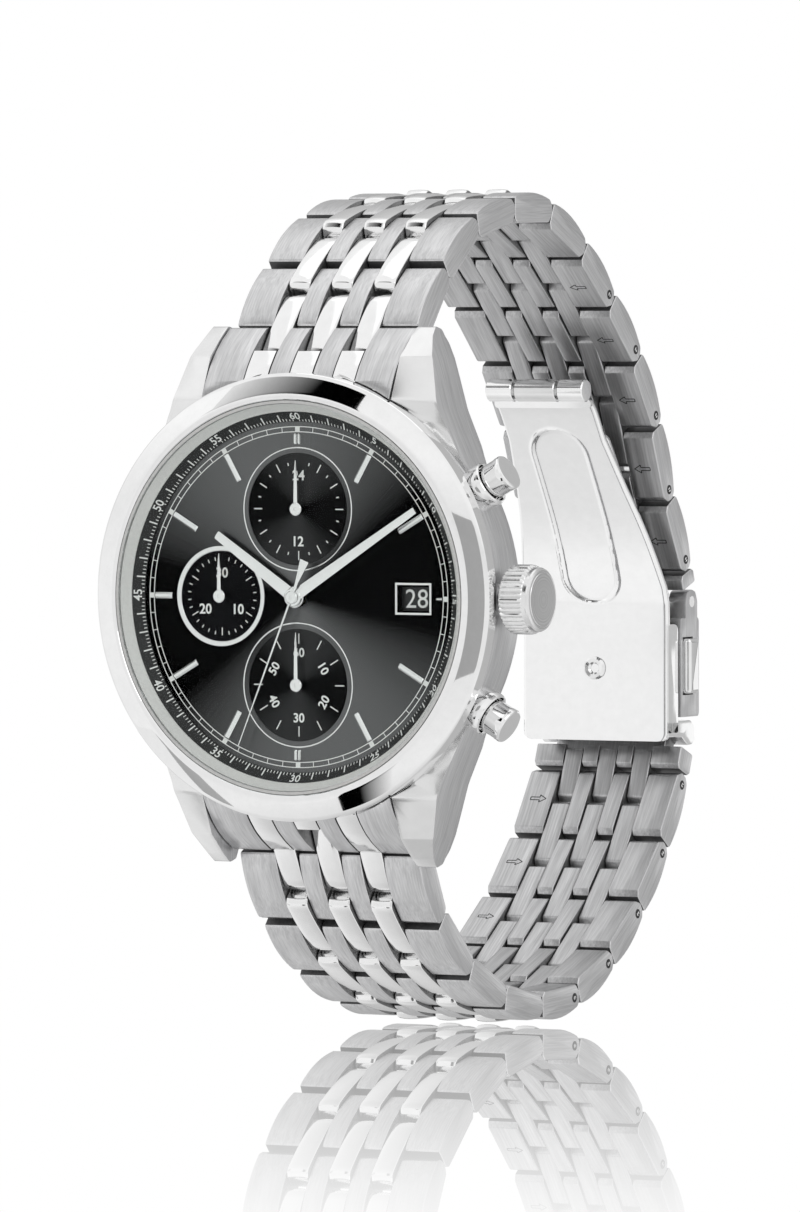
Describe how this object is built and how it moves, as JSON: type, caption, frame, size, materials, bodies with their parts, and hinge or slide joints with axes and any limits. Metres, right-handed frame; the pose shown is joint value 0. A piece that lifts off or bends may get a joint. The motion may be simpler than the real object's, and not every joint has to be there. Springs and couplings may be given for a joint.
{
  "type": "wristwatch",
  "caption": "Quartz chronograph wristwatch with a round steel case, black dial with sub-dials and date, crown, pushers and a link bracelet closed by a fold-over push-button clasp.",
  "frame": {"origin": "centre of the case back's outer flat face", "axes": "+Z towards 12 o'clock, +X towards the crown, +Y from the case back towards the wrist, so the dial faces -Y"},
  "size_m": [0.0454, 0.0691, 0.0794],
  "materials": {
    "brushed_steel": "fine satin brushing along the bracelet",
    "polished_steel": "mirror polished steel",
    "dial_black": "black sunray lacquer, satin gloss",
    "printed_white": "white pad print",
    "scale_black": "matt black",
    "hand_silver": "polished rhodium plate",
    "crystal_glass": "clear mineral glass",
    "gasket_black": "black rubber",
    "movement_brass": "satin gilt",
    "holder_white": "white nylon",
    "board_green": "green circuit board",
    "battery_steel": "satin nickel plate"
  },
  "bodies": {
    "watch_head": {"case_middle": "brushed_steel", "bezel": "polished_steel", "crystal": "crystal_glass", "crystal_gasket": "gasket_black", "scale_ring": "scale_black", "dial": "dial_black", "case_back": "brushed_steel", "case_back_gasket": "gasket_black", "movement_plate": "movement_brass", "movement_holder": "holder_white", "battery": "battery_steel", "circuit_board": "board_green", "crown_tube": "brushed_steel", "pusher_tube_2": "brushed_steel", "pusher_tube_4": "brushed_steel", "pusher_spring_2": "brushed_steel", "pusher_spring_4": "brushed_steel", "spring_bar_12": "brushed_steel", "spring_bar_6": "brushed_steel", "end_link_12": "brushed_steel", "end_link_6": "brushed_steel"},
    "minute_hand": {"minute_hand": "hand_silver"},
    "hour_hand": {"hour_hand": "hand_silver"},
    "hand_24_hour": {"hand_24_hour": "hand_silver"},
    "hand_60_second": {"hand_60_second": "hand_silver"},
    "date_ring": {"date_ring": "printed_white"},
    "chrono_seconds_hand": {"chrono_seconds_hand": "hand_silver"},
    "hand_30_minute": {"hand_30_minute": "hand_silver"},
    "setting_lever": {"setting_lever": "brushed_steel"},
    "crown": {"crown": "polished_steel", "crown_stem": "brushed_steel"},
    "pusher_2": {"pusher_2": "polished_steel"},
    "pusher_4": {"pusher_4": "polished_steel"},
    "link_12_01": {"link_12_01": "brushed_steel"},
    "link_12_02": {"link_12_02": "brushed_steel"},
    "link_12_03": {"link_12_03": "brushed_steel"},
    "link_12_04": {"link_12_04": "brushed_steel"},
    "link_12_05": {"link_12_05": "brushed_steel"},
    "link_12_06": {"link_12_06": "brushed_steel"},
    "link_12_07": {"link_12_07": "brushed_steel"},
    "link_12_08": {"link_12_08": "brushed_steel"},
    "link_12_09": {"link_12_09": "brushed_steel"},
    "link_12_10": {"link_12_10": "brushed_steel"},
    "half_link_12": {"half_link_12": "brushed_steel"},
    "clasp_cover": {"clasp_cover": "brushed_steel"},
    "clasp_button_right": {"clasp_button_right": "polished_steel"},
    "clasp_button_left": {"clasp_button_left": "polished_steel"},
    "clasp_blade": {"clasp_blade": "polished_steel"},
    "clasp_plate": {"clasp_plate": "polished_steel"},
    "half_link_6": {"half_link_6": "brushed_steel"},
    "link_6_01": {"link_6_01": "brushed_steel"},
    "link_6_02": {"link_6_02": "brushed_steel"},
    "link_6_03": {"link_6_03": "brushed_steel"},
    "link_6_04": {"link_6_04": "brushed_steel"},
    "link_6_05": {"link_6_05": "brushed_steel"},
    "link_6_06": {"link_6_06": "brushed_steel"},
    "link_6_07": {"link_6_07": "brushed_steel"},
    "link_6_08": {"link_6_08": "brushed_steel"},
    "link_6_09": {"link_6_09": "brushed_steel"}
  },
  "joints": [
    {"name": "clasp_blade_fold", "type": "hinge", "parent": "half_link_12", "child": "clasp_blade", "pos_m": [0, 0.0565, -0.0021], "axis": [1, 0, 0], "range_deg": [0, 60]},
    {"name": "clasp_plate_fold", "type": "hinge", "parent": "clasp_blade", "child": "clasp_plate", "pos_m": [0, 0.0394, 0.0188], "axis": [1, 0, 0], "range_deg": [-40, 0]},
    {"name": "half_link_6_pivot", "type": "hinge", "parent": "clasp_plate", "child": "half_link_6", "pos_m": [0, 0.05605, -0.0152], "axis": [1, 0, 0], "range_deg": [-20, 0]},
    {"name": "clasp_cover_lift", "type": "hinge", "parent": "half_link_12", "child": "clasp_cover", "pos_m": [0, 0.0565, -0.0021], "axis": [1, 0, 0], "range_deg": [0, 75]},
    {"name": "clasp_button_right_press", "type": "slide", "parent": "clasp_cover", "child": "clasp_button_right", "axis": [-1, 0, 0], "range_m": [0, 0.0006], "stiffness_N_per_m": 500, "springref_m": -0.0006},
    {"name": "clasp_button_left_press", "type": "slide", "parent": "clasp_cover", "child": "clasp_button_left", "axis": [1, 0, 0], "range_m": [0, 0.0006], "stiffness_N_per_m": 500, "springref_m": -0.0006},
    {"name": "crown_pull", "type": "slide", "parent": "watch_head", "child": "setting_lever", "axis": [1, 0, 0], "range_m": [0, 0.001]},
    {"name": "crown_turn", "type": "hinge", "parent": "setting_lever", "child": "crown", "pos_m": [0, -0.0059, 0], "axis": [1, 0, 0], "continuous": true},
    {"name": "pusher_2_press", "type": "slide", "parent": "watch_head", "child": "pusher_2", "axis": [-0.8704, 0, -0.4924], "range_m": [0, 0.0009], "stiffness_N_per_m": 800, "springref_m": -0.0008},
    {"name": "pusher_4_press", "type": "slide", "parent": "watch_head", "child": "pusher_4", "axis": [-0.8704, 0, 0.4924], "range_m": [0, 0.0009], "stiffness_N_per_m": 800, "springref_m": -0.0008},
    {"name": "minute_hand_turn", "type": "hinge", "parent": "watch_head", "child": "minute_hand", "pos_m": [0, -0.0086, 0], "axis": [0, 1, 0], "continuous": true},
    {"name": "hour_hand_turn", "type": "hinge", "parent": "watch_head", "child": "hour_hand", "pos_m": [0, -0.0086, 0], "axis": [0, 1, 0], "continuous": true},
    {"name": "chrono_seconds_turn", "type": "hinge", "parent": "watch_head", "child": "chrono_seconds_hand", "pos_m": [0, -0.0086, 0], "axis": [0, 1, 0], "continuous": true},
    {"name": "hand_30_minute_turn", "type": "hinge", "parent": "watch_head", "child": "hand_30_minute", "pos_m": [-0.0082, -0.0086, 0], "axis": [0, 1, 0], "continuous": true},
    {"name": "hand_60_second_turn", "type": "hinge", "parent": "watch_head", "child": "hand_60_second", "pos_m": [0, -0.0086, -0.0082], "axis": [0, 1, 0], "continuous": true},
    {"name": "hand_24_hour_turn", "type": "hinge", "parent": "watch_head", "child": "hand_24_hour", "pos_m": [0, -0.0086, 0.0082], "axis": [0, 1, 0], "continuous": true},
    {"name": "date_ring_turn", "type": "hinge", "parent": "watch_head", "child": "date_ring", "pos_m": [0, -0.0086, 0], "axis": [0, 1, 0], "continuous": true},
    {"name": "link_12_01_pivot", "type": "hinge", "parent": "watch_head", "child": "link_12_01", "pos_m": [0, -0.0028, 0.0234], "axis": [1, 0, 0], "range_deg": [0, 12]},
    {"name": "link_12_02_pivot", "type": "hinge", "parent": "link_12_01", "child": "link_12_02", "pos_m": [0, 0.00224, 0.02951], "axis": [1, 0, 0], "range_deg": [0, 22]},
    {"name": "link_12_03_pivot", "type": "hinge", "parent": "link_12_02", "child": "link_12_03", "pos_m": [0, 0.00856, 0.03428], "axis": [1, 0, 0], "range_deg": [0, 32]},
    {"name": "link_12_04_pivot", "type": "hinge", "parent": "link_12_03", "child": "link_12_04", "pos_m": [0, 0.01626, 0.03613], "axis": [1, 0, 0], "range_deg": [0, 20]},
    {"name": "link_12_05_pivot", "type": "hinge", "parent": "link_12_04", "child": "link_12_05", "pos_m": [0, 0.02418, 0.03626], "axis": [1, 0, 0], "range_deg": [0, 34]},
    {"name": "link_12_06_pivot", "type": "hinge", "parent": "link_12_05", "child": "link_12_06", "pos_m": [0, 0.03139, 0.03298], "axis": [1, 0, 0], "range_deg": [0, 22]},
    {"name": "link_12_07_pivot", "type": "hinge", "parent": "link_12_06", "child": "link_12_07", "pos_m": [0, 0.03763, 0.0281], "axis": [1, 0, 0], "range_deg": [0, 13]},
    {"name": "link_12_08_pivot", "type": "hinge", "parent": "link_12_07", "child": "link_12_08", "pos_m": [0, 0.04347, 0.02275], "axis": [1, 0, 0], "range_deg": [0, 20]},
    {"name": "link_12_09_pivot", "type": "hinge", "parent": "link_12_08", "child": "link_12_09", "pos_m": [0, 0.04807, 0.01631], "axis": [1, 0, 0], "range_deg": [0, 21]},
    {"name": "link_12_10_pivot", "type": "hinge", "parent": "link_12_09", "child": "link_12_10", "pos_m": [0, 0.05116, 0.00902], "axis": [1, 0, 0], "range_deg": [0, 6]},
    {"name": "half_link_12_pivot", "type": "hinge", "parent": "link_12_10", "child": "half_link_12", "pos_m": [0, 0.055, 0.00209], "axis": [1, 0, 0], "range_deg": [0, 16]},
    {"name": "link_6_01_pivot", "type": "hinge", "parent": "watch_head", "child": "link_6_01", "pos_m": [0, -0.0022, -0.0225], "axis": [-1, 0, 0], "range_deg": [0, 17]},
    {"name": "link_6_02_pivot", "type": "hinge", "parent": "link_6_01", "child": "link_6_02", "pos_m": [0, 0.00133, -0.02959], "axis": [-1, 0, 0], "range_deg": [0, 30]},
    {"name": "link_6_03_pivot", "type": "hinge", "parent": "link_6_02", "child": "link_6_03", "pos_m": [0, 0.00727, -0.03484], "axis": [-1, 0, 0], "range_deg": [0, 24]},
    {"name": "link_6_04_pivot", "type": "hinge", "parent": "link_6_03", "child": "link_6_04", "pos_m": [0, 0.01438, -0.03831], "axis": [-1, 0, 0], "range_deg": [0, 23]},
    {"name": "link_6_05_pivot", "type": "hinge", "parent": "link_6_04", "child": "link_6_05", "pos_m": [0, 0.02215, -0.03989], "axis": [-1, 0, 0], "range_deg": [0, 23]},
    {"name": "link_6_06_pivot", "type": "hinge", "parent": "link_6_05", "child": "link_6_06", "pos_m": [0, 0.03005, -0.03947], "axis": [-1, 0, 0], "range_deg": [0, 26]},
    {"name": "link_6_07_pivot", "type": "hinge", "parent": "link_6_06", "child": "link_6_07", "pos_m": [0, 0.03745, -0.03663], "axis": [-1, 0, 0], "range_deg": [0, 22]},
    {"name": "link_6_08_pivot", "type": "hinge", "parent": "link_6_07", "child": "link_6_08", "pos_m": [0, 0.04398, -0.03215], "axis": [-1, 0, 0], "range_deg": [0, 19]},
    {"name": "link_6_09_pivot", "type": "hinge", "parent": "link_6_08", "child": "link_6_09", "pos_m": [0, 0.04958, -0.02655], "axis": [-1, 0, 0], "range_deg": [0, 19]}
  ],
  "couplings": [
    {"joint": "clasp_plate_fold", "follows": "clasp_blade_fold", "ratio": -0.6},
    {"joint": "half_link_6_pivot", "follows": "clasp_blade_fold", "ratio": -0.315},
    {"joint": "link_6_01_pivot", "follows": "clasp_blade_fold", "ratio": 0.277},
    {"joint": "hand_60_second_turn", "follows": "minute_hand_turn", "ratio": 60},
    {"joint": "hour_hand_turn", "follows": "minute_hand_turn", "ratio": 0.083333},
    {"joint": "hand_24_hour_turn", "follows": "minute_hand_turn", "ratio": 0.041667},
    {"joint": "date_ring_turn", "follows": "minute_hand_turn", "ratio": 0.0013441},
    {"joint": "hand_30_minute_turn", "follows": "chrono_seconds_turn", "ratio": 0.033333}
  ]
}
